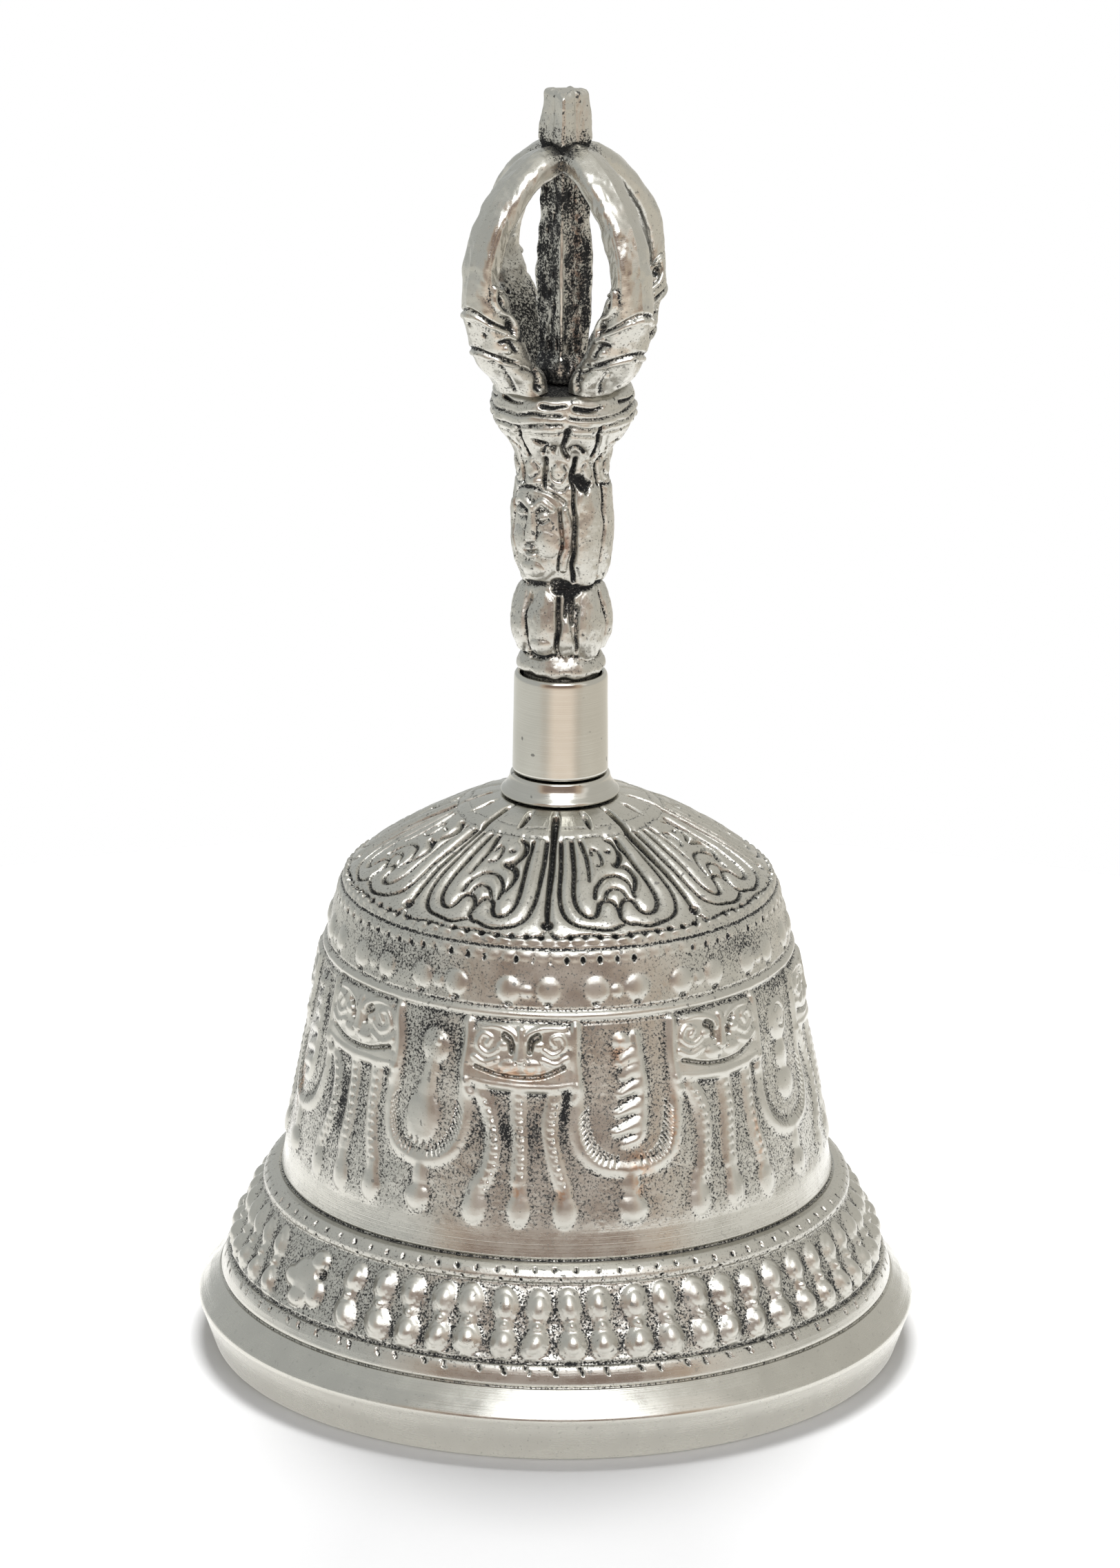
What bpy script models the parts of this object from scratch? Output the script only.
"""Hand bell with a half-vajra handle: a cast bell, a handle clamped on a tie rod, and a linked clapper.

Metres, +Z up. The origin is the centre of the mouth, on the surface that the bell stands on.
The bell's front, the side it is looked at from, faces -Y.
"""

import math

import bmesh
import bpy
from mathutils import Matrix, Vector

MM = 0.001

# ---- Driving dimensions ----
LIP_RADIUS = 45.0 * MM          # the widest edge of the lip
CROWN_SEAT_HEIGHT = 71.2 * MM   # flat top of the bell, under the collar
CROWN_UNDERSIDE = 67.0 * MM     # flat inside the crown, over the washer
HEAD_TOP = 160.0 * MM           # top of the central prong

GAP = 0.25 * MM                 # left between pieces that touch
ROD_RADIUS = 2.5 * MM           # tie rod, 5 mm bar
ROD_HOLE = ROD_RADIUS + 0.2 * MM
COLLAR_HEIGHT = 2.6 * MM
FERRULE_HEIGHT = 12.65 * MM
FERRULE_WALL = 0.75 * MM
FERRULE_FLOOR = 1.8 * MM
TENON_RADIUS = 4.6 * MM
SOCKET_TOP = 104.0 * MM         # blind end of the rod's socket in the stem

WASHER_RADIUS = 5.6 * MM
WASHER_THICKNESS = 1.2 * MM
NUT_CORNER_RADIUS = 4.62 * MM   # 8 mm across flats
NUT_HEIGHT = 4.0 * MM

STAPLE_EYE_HEIGHT = 55.5 * MM   # centre of the eye at the rod's lower end
STAPLE_EYE_RADIUS = 3.1 * MM    # to the middle of its bar
STAPLE_BAR = 1.2 * MM           # radius of its bar
LINK_BAR = 0.9 * MM
LINK_HALF_WIDTH = 2.6 * MM
LINK_STRAIGHT = 3.5 * MM
CLAPPER_EYE_RADIUS = 3.0 * MM
CLAPPER_BAR = 1.1 * MM
PLAY = 0.15 * MM                # clearance between hooked bars
SHANK_RADIUS = 1.6 * MM
BOB_RADIUS = 8.0 * MM
BOB_HEIGHT = 11.5 * MM          # height of the bob's centre

HUB_TOP = 123.6 * MM
PRONG_ROOT = HUB_TOP + GAP
PRONG_COUNT = 4
PRONG_WIDTH = 4.6 * MM
FIRST_PRONG_AZIMUTH = math.radians(39.0)
CENTRE_BAR_CORNER = 3.05 * MM   # half the diagonal of its square section

# The link swings on the staple's lower bar, and the clapper on the link's lower bar.
LINK_PIVOT = STAPLE_EYE_HEIGHT - STAPLE_EYE_RADIUS
LINK_TOP_BAR = LINK_PIVOT + STAPLE_BAR + LINK_BAR + PLAY
CLAPPER_PIVOT = LINK_TOP_BAR - 2 * LINK_HALF_WIDTH - LINK_STRAIGHT
CLAPPER_EYE_HEIGHT = CLAPPER_PIVOT + LINK_BAR + CLAPPER_BAR + PLAY - CLAPPER_EYE_RADIUS

BELL_STEPS = 48
STEM_STEPS = 32
SMALL_STEPS = 28
SHARP_ANGLE = math.radians(32)


# ---- Scene and materials ----
def clear_scene():
    for obj in list(bpy.data.objects):
        bpy.data.objects.remove(obj, do_unlink=True)


def new_collection(name, parent=None):
    collection = bpy.data.collections.new(name)
    (parent or bpy.context.scene.collection).children.link(collection)
    return collection


def metal(name, colour, roughness):
    material = bpy.data.materials.new(name)
    material.use_nodes = True
    shader = material.node_tree.nodes["Principled BSDF"]
    shader.inputs["Base Color"].default_value = (*colour, 1.0)
    shader.inputs["Roughness"].default_value = roughness
    shader.inputs["Metallic"].default_value = 1.0
    material.diffuse_color = (*colour, 1.0)
    return material


# ---- Shape helpers ----
def profile(points_mm):
    """Radius and height pairs in millimetres as points in metres, in the XZ plane."""
    return [Vector((r * MM, 0.0, z * MM)) for r, z in points_mm]


def arc(centre, radius, start, end, count):
    """Points in millimetres on an arc in the XZ plane, from one angle in degrees to another."""
    points = []
    for i in range(count + 1):
        angle = math.radians(start + (end - start) * i / count)
        points.append((centre[0] + radius * math.cos(angle), centre[1] + radius * math.sin(angle)))
    return points


def settle(obj, collection, material):
    """The object's evaluated shape as a plain welded mesh, shaded smooth, in its collection."""
    graph = bpy.context.evaluated_depsgraph_get()
    mesh = bpy.data.meshes.new_from_object(obj.evaluated_get(graph))
    work = bmesh.new()
    work.from_mesh(mesh)
    bmesh.ops.remove_doubles(work, verts=work.verts, dist=0.00001)
    work.to_mesh(mesh)
    work.free()
    mesh.shade_smooth()
    mesh.set_sharp_from_angle(angle=SHARP_ANGLE)
    made = bpy.data.objects.new(obj.name, mesh)
    made.matrix_world = obj.matrix_world.copy()
    name = obj.name
    bpy.data.objects.remove(obj, do_unlink=True)
    made.name = name
    mesh.name = name
    mesh.materials.clear()
    mesh.materials.append(material)
    collection.objects.link(made)
    return made


def turned(name, points, steps, collection, material, closed=True):
    """A profile turned about Z. It runs down the outer side; closed joins its end to its start."""
    mesh = bpy.data.meshes.new(name)
    edges = [(i, i + 1) for i in range(len(points) - 1)]
    if closed:
        edges.append((len(points) - 1, 0))
    mesh.from_pydata(points, edges, [])
    obj = bpy.data.objects.new(name, mesh)
    bpy.context.scene.collection.objects.link(obj)
    screw = obj.modifiers.new("turn", "SCREW")
    screw.axis = "Z"
    screw.angle = math.tau
    screw.steps = steps
    screw.render_steps = steps
    screw.use_merge_vertices = True
    screw.merge_threshold = 0.00001
    bpy.context.view_layer.update()
    return settle(obj, collection, material)


def cutter(obj, collection):
    obj.hide_render = True
    obj.display_type = "WIRE"
    for owner in list(obj.users_collection):
        owner.objects.unlink(obj)
    collection.objects.link(obj)


def cylinder_cutter(name, radius, bottom, top, steps, collection, material):
    points = [
        Vector((0.0, 0.0, top)),
        Vector((radius, 0.0, top)),
        Vector((radius, 0.0, bottom)),
        Vector((0.0, 0.0, bottom)),
    ]
    made = turned(name, points, steps, collection, material, closed=False)
    cutter(made, collection)
    return made


def combine(target, other, operation):
    step = target.modifiers.new(other.name, "BOOLEAN")
    step.operation = operation
    step.solver = "EXACT"
    step.object = other


def eye_ring(name, radius, bar, height, cutters):
    """A ring of round bar in the XZ plane, as a helper that joins a rod's end."""
    bpy.ops.mesh.primitive_torus_add(
        major_radius=radius,
        minor_radius=bar,
        major_segments=24,
        minor_segments=10,
        location=(0.0, 0.0, height),
        rotation=(math.pi / 2, 0.0, 0.0),
    )
    ring = bpy.context.active_object
    ring.name = name
    cutter(ring, cutters)
    return ring


# ---- The bell ----
def bell_shell(parts, material):
    """The cast bell: crown, shoulder, waist, moulding, skirt and a thick lip."""
    bore = ROD_HOLE / MM
    seat = CROWN_SEAT_HEIGHT / MM
    ceiling = CROWN_UNDERSIDE / MM
    lip_edge = LIP_RADIUS / MM
    crown = [(bore, seat), (7.6, seat), (11.6, 70.0), (15.8, 68.0), (19.8, 66.0)]
    shoulder = [(23.1, 64.0), (25.5, 62.3), (26.9, 60.8), (27.7, 59.4), (28.0, 58.2)]
    waist_band = [(28.3, 56.5), (29.0, 53.2), (29.7, 52.4), (29.7, 51.8), (29.4, 51.2)]
    waist = [(30.1, 47.5), (30.8, 43.5), (31.6, 39.0), (32.7, 34.0), (33.7, 29.0)]
    moulding = [(34.4, 24.0), (34.5, 22.6), *arc((34.9, 20.9), 1.7, 75, 0, 4), (36.7, 20.4)]
    skirt = [(38.8, 16.4), (41.0, 12.2), (42.0, 10.2), (42.4, 9.0)]
    lip = [(44.5, 6.6), *arc((lip_edge - 0.8, 5.8), 0.8, 45, -20, 3), (43.3, 0.4), (42.9, 0.0)]
    inside_lip = [(38.5, 0.0), (38.1, 0.4), (37.7, 5.0), (36.6, 10.0)]
    inside_wall = [(34.9, 14.0), (33.1, 18.0), (31.7, 22.0), (30.9, 26.0), (30.2, 30.0)]
    inside_waist = [(29.2, 35.0), (28.2, 40.0), (27.6, 45.0), (26.8, 50.0), (25.7, 54.0)]
    inside_crown = [(24.6, 57.0), (22.8, 60.0), (20.4, 62.2), (16.6, 64.2), (12.4, 65.8)]
    inside_seat = [(8.6, ceiling), (bore, ceiling)]
    outline = crown + shoulder + waist_band + waist + moulding + skirt + lip
    outline += inside_lip + inside_wall + inside_waist + inside_crown + inside_seat
    return turned("bell_shell", profile(outline), BELL_STEPS, parts, material)


def neck_collar(parts, material):
    """The turned ring between the crown and the ferrule, with a hollow sweep on its outside."""
    bottom = CROWN_SEAT_HEIGHT / MM + GAP / MM
    top = bottom + COLLAR_HEIGHT / MM
    bore = ROD_HOLE / MM
    outline = [(bore, top), (6.15, top)]
    outline += [(6.2, top - 0.5), (6.4, top - 1.1), (6.8, top - 1.7), (7.35, bottom + 0.3)]
    outline += [(7.35, bottom), (bore, bottom)]
    return turned("neck_collar", profile(outline), STEM_STEPS, parts, material)


def ferrule_heights():
    bottom = CROWN_SEAT_HEIGHT + 2 * GAP + COLLAR_HEIGHT
    return bottom, bottom + FERRULE_HEIGHT


def ferrule(parts, material):
    """The plain sleeve: a cup with a bored floor, which takes the stem's tenon."""
    bottom, top = (value / MM for value in ferrule_heights())
    outer_bottom, outer_top = 5.9, 5.75
    inner = outer_top - FERRULE_WALL / MM
    floor = bottom + FERRULE_FLOOR / MM
    bore = ROD_HOLE / MM
    round_edge = 0.55
    outline = [(inner, top - 0.2), (inner + 0.15, top)]
    outline += arc((outer_top - round_edge, top - round_edge), round_edge, 90, 0, 4)
    outline += [(outer_bottom, bottom), (bore, bottom), (bore, floor), (inner, floor)]
    return turned("ferrule", profile(outline), STEM_STEPS, parts, material)


# ---- The handle ----
def handle_stem(parts, material):
    """The cast stem: tenon, foot flange, lotus bulb, head, lotus capital and the hub ring."""
    socket = ROD_HOLE / MM
    tenon = TENON_RADIUS / MM
    tenon_end = (ferrule_heights()[0] + FERRULE_FLOOR + GAP) / MM
    hub_top = HUB_TOP / MM
    hub = [(0.0, hub_top), (7.9, hub_top), (8.6, 122.9), (8.6, 121.8), (9.1, 120.7)]
    capital = [(8.9, 119.9), (8.2, 118.9), (7.4, 117.8), (6.5, 116.4), (5.8, 115.0), (5.4, 113.9)]
    head = [(5.5, 112.6), (5.8, 110.4), (5.85, 107.0), (5.75, 103.4), (5.5, 100.9), (4.95, 98.9)]
    bulb = [(4.9, 98.3), (5.3, 97.0), (5.75, 95.2), (5.9, 93.4), (5.7, 91.6), (5.1, 90.2)]
    foot = [(4.8, 89.5), (5.2, 88.8), (5.45, 88.2), (5.4, 87.7), (5.0, 87.3), (tenon, 87.2)]
    socket_wall = [(tenon, tenon_end), (socket, tenon_end), (socket, SOCKET_TOP / MM - 1.4)]
    outline = hub + capital + head + bulb + foot + socket_wall + [(0.0, SOCKET_TOP / MM)]
    return turned("handle_stem", profile(outline), STEM_STEPS, parts, material, closed=False)


def prong_outline():
    """One outer prong from the side, in millimetres: radius from the axis, and height."""
    root = PRONG_ROOT / MM
    outer = [
        (8.5, root), (9.7, 125.4), (11.6, 127.2), (12.1, 128.6), (12.9, 129.2),
        (13.2, 131.2), (14.1, 132.0), (14.35, 134.6), (14.35, 137.6), (14.1, 140.2),
        (13.5, 142.6), (12.4, 145.0), (10.8, 147.4), (8.8, 149.6), (6.3, 151.5), (4.2, 152.5),
        (2.5, 152.9),
    ]
    inner = [
        (2.5, 149.8), (4.0, 149.4), (6.0, 148.3), (8.0, 146.4), (9.8, 143.9), (11.2, 140.8),
        (11.9, 137.6), (11.8, 134.6), (10.6, 132.6), (9.2, 131.0), (8.2, 128.6), (6.4, 126.8),
        (4.6, 125.4), (4.2, root),
    ]
    return outer + inner


def outer_prong(name, azimuth, parts, material):
    """A flat cast prong: its side outline as a filled curve, with softened edges."""
    curve = bpy.data.curves.new(name, "CURVE")
    curve.dimensions = "2D"
    curve.fill_mode = "BOTH"
    curve.extrude = PRONG_WIDTH / 2
    spline = curve.splines.new("POLY")
    outline = prong_outline()
    spline.points.add(len(outline) - 1)
    for point, (r, z) in zip(spline.points, outline):
        point.co = (r * MM, z * MM, 0.0, 1.0)
    spline.use_cyclic_u = True
    flat = bpy.data.objects.new(name, curve)
    bpy.context.scene.collection.objects.link(flat)
    flat.matrix_world = Matrix.Rotation(azimuth, 4, "Z") @ Matrix.Rotation(math.pi / 2, 4, "X")
    bpy.context.view_layer.update()
    solid = settle(flat, parts, material)
    edge = solid.modifiers.new("soft_edges", "BEVEL")
    edge.width = 0.45 * MM
    edge.segments = 2
    edge.limit_method = "ANGLE"
    edge.angle_limit = math.radians(50)
    return solid


def central_prong(parts, material):
    """The square bar up the middle: a boss at its foot, a slight swell, and the tapered tip."""
    corner = CENTRE_BAR_CORNER / MM
    top = HEAD_TOP / MM
    outline = [
        (0.0, top), (2.3, top), (2.65, top - 0.5), (corner, 153.2), (3.1, 150.0), (3.05, 144.0),
        (3.45, 138.5), (3.25, 132.0), (3.0, 127.6), (3.5, 126.4), (3.5, 124.8), (2.9, 123.85),
        (0.0, 123.85),
    ]
    bar = turned("central_prong", profile(outline), 4, parts, material, closed=False)
    bar.rotation_euler.z = FIRST_PRONG_AZIMUTH + math.pi / 4
    edge = bar.modifiers.new("soft_edges", "BEVEL")
    edge.width = 0.35 * MM
    edge.segments = 2
    edge.limit_method = "ANGLE"
    edge.angle_limit = math.radians(60)
    return bar


# ---- The fixings inside ----
def tie_rod(parts, cutters, material):
    """The rod that clamps the handle to the bell, with the clapper's staple eye at its foot."""
    radius = ROD_RADIUS / MM
    top = SOCKET_TOP / MM - 2.4
    neck = 60.6
    foot = (STAPLE_EYE_HEIGHT + STAPLE_EYE_RADIUS) / MM
    outline = [(0.0, top), (radius - 0.5, top), (radius, top - 0.5), (radius, neck)]
    outline += [(1.7, neck - 1.2), (1.5, foot), (0.0, foot)]
    rod = turned("tie_rod", profile(outline), 24, parts, material, closed=False)
    ring = eye_ring("staple_eye", STAPLE_EYE_RADIUS, STAPLE_BAR, STAPLE_EYE_HEIGHT, cutters)
    combine(rod, ring, "UNION")
    return rod


def crown_washer(parts, material):
    top = (CROWN_UNDERSIDE - GAP) / MM
    bottom = top - WASHER_THICKNESS / MM
    bore, rim = ROD_HOLE / MM, WASHER_RADIUS / MM
    outline = [(bore, top), (rim, top), (rim, bottom + 0.2), (rim - 0.2, bottom), (bore, bottom)]
    return turned("crown_washer", profile(outline), SMALL_STEPS, parts, material)


def crown_nut(parts, cutters, material):
    """A hexagonal nut under the washer."""
    top = CROWN_UNDERSIDE - 2 * GAP - WASHER_THICKNESS
    bottom = top - NUT_HEIGHT
    corner = NUT_CORNER_RADIUS / MM
    outline = [(0.0, top / MM), (corner, top / MM), (corner, bottom / MM + 0.4)]
    outline += [(corner - 0.5, bottom / MM), (0.0, bottom / MM)]
    nut = turned("crown_nut", profile(outline), 6, parts, material, closed=False)
    hole = cylinder_cutter(
        "nut_hole", ROD_HOLE, bottom - MM, top + MM, 24, cutters, material
    )
    combine(nut, hole, "DIFFERENCE")
    return nut


# ---- The clapper ----
def clapper_link(parts, material):
    """A closed link of round wire in the YZ plane, hooked through the staple."""
    top_centre = LINK_TOP_BAR - LINK_HALF_WIDTH
    bottom_centre = top_centre - LINK_STRAIGHT
    points = []
    half_turn = 9
    for centre, start in ((top_centre, 0.0), (bottom_centre, math.pi)):
        for i in range(half_turn + 1):
            angle = start + math.pi * i / half_turn
            y = LINK_HALF_WIDTH * math.cos(angle)
            points.append((0.0, y, centre + LINK_HALF_WIDTH * math.sin(angle)))
    curve = bpy.data.curves.new("clapper_link", "CURVE")
    curve.dimensions = "3D"
    curve.bevel_depth = LINK_BAR
    curve.bevel_resolution = 3
    spline = curve.splines.new("POLY")
    spline.points.add(len(points) - 1)
    for point, place in zip(spline.points, points):
        point.co = (*place, 1.0)
    spline.use_cyclic_u = True
    wire = bpy.data.objects.new("clapper_link", curve)
    bpy.context.scene.collection.objects.link(wire)
    bpy.context.view_layer.update()
    return settle(wire, parts, material)


def clapper_shank(parts, cutters, material):
    """The clapper's rod: an eye on top, a shoulder over the bob, and a riveted end under it."""
    radius = SHANK_RADIUS / MM
    top = (CLAPPER_EYE_HEIGHT - CLAPPER_EYE_RADIUS) / MM
    seat = (BOB_HEIGHT + BOB_RADIUS) / MM - 0.3
    under = (BOB_HEIGHT - BOB_RADIUS) / MM + 0.1
    outline = [(0.0, top), (1.5, top), (radius, top - 3.0), (radius, seat + 2.2)]
    outline += [(2.7, seat + 1.5), (2.7, seat + 0.6), (radius, seat + 0.25)]
    outline += [(radius, under - 0.3), (2.5, under - 0.35), (2.3, under - 1.0), (1.2, under - 1.6)]
    outline += [(0.0, under - 1.75)]
    shank = turned("clapper_shank", profile(outline), 24, parts, material, closed=False)
    ring = eye_ring(
        "clapper_eye", CLAPPER_EYE_RADIUS, CLAPPER_BAR, CLAPPER_EYE_HEIGHT, cutters
    )
    combine(shank, ring, "UNION")
    return shank


def clapper_bob(parts, material):
    """The striker: a ball with a bore for the shank and flats at its two ends."""
    bore = (SHANK_RADIUS + 0.2 * MM) / MM
    radius, centre = BOB_RADIUS / MM, BOB_HEIGHT / MM
    flat = 24   # degrees from the pole to the edge of each flat
    ball = arc((0.0, centre), radius, 90 - flat, -90 + flat, 12)
    outline = [(bore, ball[0][1]), *ball, (bore, ball[-1][1])]
    return turned("clapper_bob", profile(outline), SMALL_STEPS, parts, material)


def main():
    clear_scene()
    parts = new_collection("tibetan_bell")
    cutters = new_collection("cutters")

    cast = metal("cast_white_bronze", (0.66, 0.64, 0.60), 0.32)
    polished = metal("polished_white_bronze", (0.74, 0.71, 0.66), 0.18)
    dark = metal("darkened_prong_metal", (0.30, 0.29, 0.27), 0.45)
    steel = metal("zinc_steel", (0.55, 0.55, 0.56), 0.35)
    brass = metal("clapper_brass", (0.72, 0.58, 0.33), 0.35)

    bell_shell(parts, cast)
    neck_collar(parts, polished)
    ferrule(parts, polished)
    handle_stem(parts, cast)
    sides = ("back_right", "back_left", "front_left", "front_right")
    for i, side in enumerate(sides):
        azimuth = FIRST_PRONG_AZIMUTH + math.tau * i / PRONG_COUNT
        outer_prong(f"outer_prong_{side}", azimuth, parts, cast)
    central_prong(parts, dark)
    tie_rod(parts, cutters, steel)
    crown_washer(parts, steel)
    crown_nut(parts, cutters, steel)
    clapper_link(parts, steel)
    clapper_shank(parts, cutters, steel)
    clapper_bob(parts, brass)


main()
